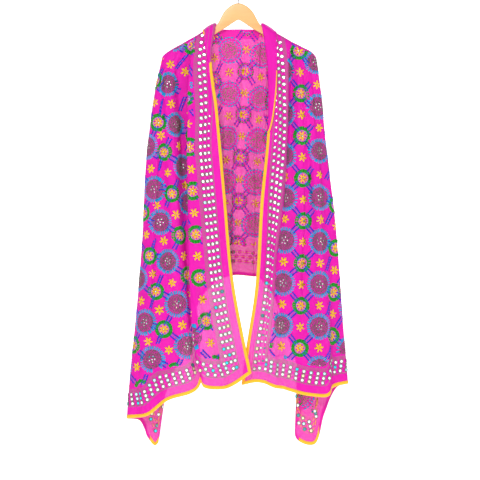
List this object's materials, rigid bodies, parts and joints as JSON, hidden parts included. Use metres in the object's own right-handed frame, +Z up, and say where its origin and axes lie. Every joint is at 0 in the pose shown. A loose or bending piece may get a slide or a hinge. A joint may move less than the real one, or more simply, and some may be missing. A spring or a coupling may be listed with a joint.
{
  "type": "embroidered phulkari shawl on a wooden hanger",
  "caption": "Rectangular magenta phulkari shawl, embroidered all over with mirrored borders and yellow binding, hung cape-wise on a flat wooden hanger with a steel hook.",
  "frame": {"origin": "inside the top of the hook's bend, where the rail bears", "axes": "+Z up; the front of the garment faces -Y; +X is to the viewer's right"},
  "size_m": [0.6132, 0.0994, 1.3019],
  "materials": {
    "shawl_cloth": "semi-sheer crepe georgette with thread embroidery and foil mirrors",
    "binding": "satin-faced yellow binding strip",
    "hanger_wood": "satin clear lacquer over pale wood",
    "hook_steel": "plain bent wire"
  },
  "bodies": {
    "root": {"back_fall": "shawl_cloth", "far_edge_binding": "binding", "hanger_body": "hanger_wood", "hanger_hook": "hook_steel", "left_border_fall": "shawl_cloth", "left_edge_binding": "binding", "left_front_fall": "shawl_cloth", "left_hem_binding": "binding", "left_lapel": "shawl_cloth", "left_side_fall": "shawl_cloth", "neck_collar": "shawl_cloth", "right_border_fall": "shawl_cloth", "right_edge_binding": "binding", "right_front_fall": "shawl_cloth", "right_hem_binding": "binding", "right_lapel": "shawl_cloth", "right_side_fall": "shawl_cloth"}
  },
  "joints": []
}
